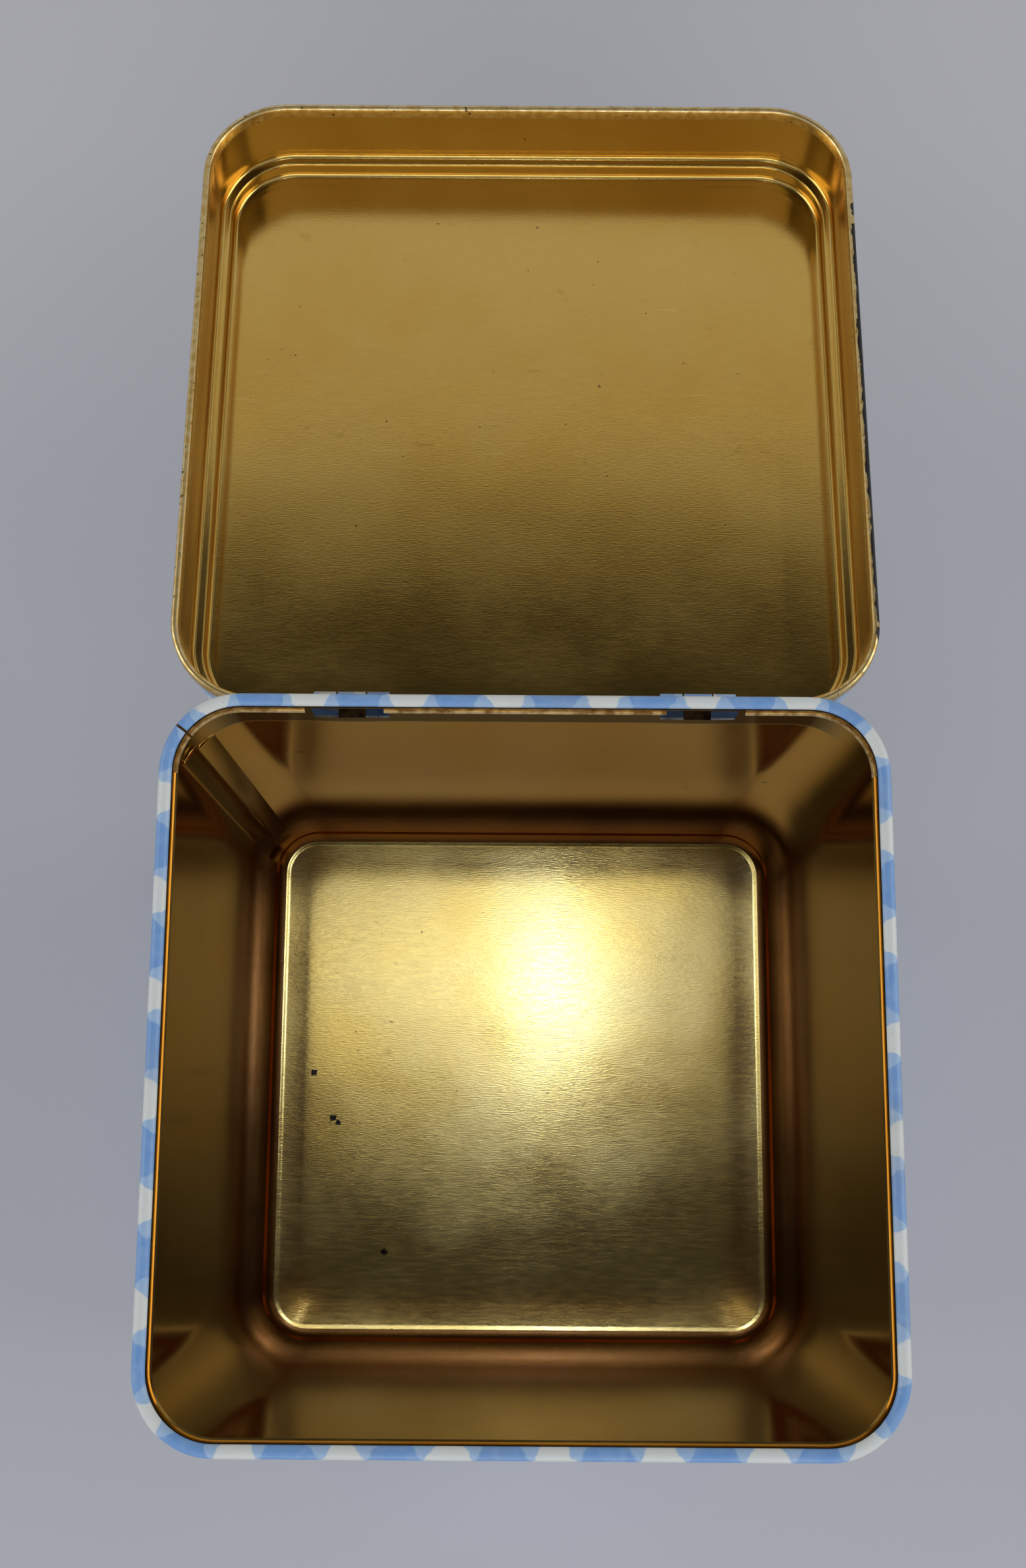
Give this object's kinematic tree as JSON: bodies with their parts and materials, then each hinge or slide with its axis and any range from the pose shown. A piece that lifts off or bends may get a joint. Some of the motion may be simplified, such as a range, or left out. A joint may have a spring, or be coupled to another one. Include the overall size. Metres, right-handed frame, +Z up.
{
  "type": "hinged tin box",
  "caption": "Square tinplate box with rounded corners, rolled rim and a hinged slip lid laid open, gingham outside and gold lacquer inside.",
  "frame": {"origin": "on the standing plane, straight below the hinge line and in the middle of the width; with the lid laid back this is the bottom centre of the whole", "axes": "+Z up; +Y from the hinge out over the opened lid, so the box stands on the -Y side; X along the hinge line"},
  "size_m": [0.1154, 0.2279, 0.113],
  "materials": {
    "printed_tinplate": "gloss print on tinplate outside, gold lacquer inside",
    "gold_lacquer": "satin gold lacquer on tinplate",
    "gold_lacquer_lid": "satin gold lacquer on tinplate, printed outside",
    "wire_steel": "drawn wire"
  },
  "bodies": {
    "box": {"body_wall": "printed_tinplate", "bottom_plate": "gold_lacquer", "hinge_wire_left": "wire_steel", "hinge_wire_right": "wire_steel"},
    "lid": {"lid": "gold_lacquer_lid"}
  },
  "joints": [
    {"name": "lid_hinge", "type": "hinge", "parent": "box", "child": "lid", "pos_m": [0, 0, 0.0989], "axis": [1, 0, 0], "range_deg": [0, 187]}
  ]
}
